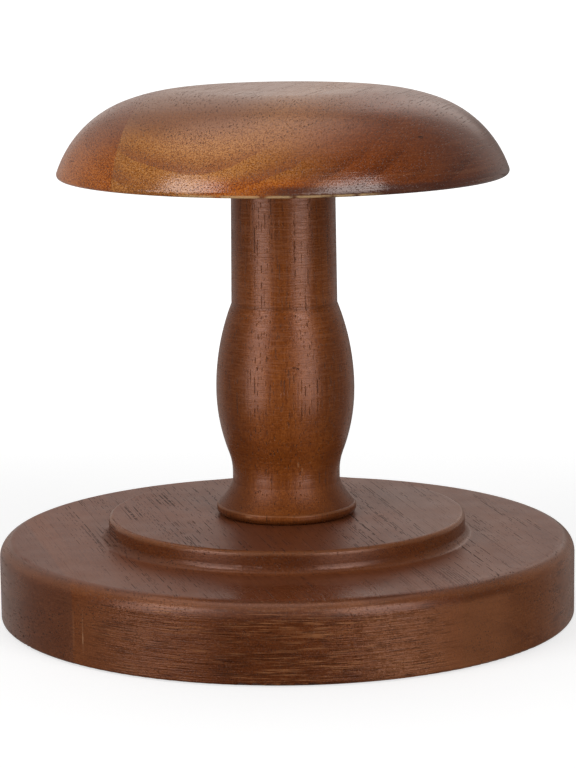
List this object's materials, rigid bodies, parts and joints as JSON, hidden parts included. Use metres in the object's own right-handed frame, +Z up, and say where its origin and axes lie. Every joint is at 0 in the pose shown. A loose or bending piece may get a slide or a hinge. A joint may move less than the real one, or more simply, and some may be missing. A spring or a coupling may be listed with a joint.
{
  "type": "wig stand",
  "caption": "Turned wooden wig stand: a stepped disc base, a baluster post and a domed cap that holds up a wig or hat; the cap and the post unscrew for packing.",
  "frame": {"origin": "centre of the underside of the base", "axes": "+Z up along the axis the stand is turned on, -Y towards the camera of the picture, +X to its right"},
  "size_m": [0.15, 0.15, 0.1364],
  "materials": {
    "wood_dark": "stained, semi-gloss",
    "wood_base": "stained, semi-gloss",
    "wood_post": "stained, semi-gloss",
    "wood_cap": "stained, semi-gloss",
    "zinc": "zinc alloy, dull",
    "steel": "zinc plated"
  },
  "bodies": {
    "base": {"base_board_left": "wood_dark", "base_board_middle": "wood_base", "base_board_right": "wood_base", "base_insert": "zinc"},
    "foot_washer": {"foot_washer": "steel"},
    "post": {"post": "wood_post", "foot_bolt": "steel", "cap_bolt": "steel"},
    "cap_washer": {"cap_washer": "steel"},
    "cap": {"cap_board_left": "wood_dark", "cap_board_right": "wood_cap", "cap_insert": "zinc"}
  },
  "joints": [
    {"name": "post_turn", "type": "hinge", "parent": "base", "child": "foot_washer", "pos_m": [0, 0, 0.026], "axis": [0, 0, 1], "range_deg": [0, 3870]},
    {"name": "post_rise", "type": "slide", "parent": "foot_washer", "child": "post", "axis": [0, 0, 1], "range_m": [0, 0.01344]},
    {"name": "cap_turn", "type": "hinge", "parent": "post", "child": "cap_washer", "pos_m": [0, 0, 0.1144], "axis": [0, 0, 1], "range_deg": [0, 3870]},
    {"name": "cap_rise", "type": "slide", "parent": "cap_washer", "child": "cap", "axis": [0, 0, 1], "range_m": [0, 0.01344]}
  ],
  "couplings": [
    {"joint": "post_rise", "follows": "post_turn", "m_per_rad": 0.00019894},
    {"joint": "cap_rise", "follows": "cap_turn", "m_per_rad": 0.00019894}
  ]
}
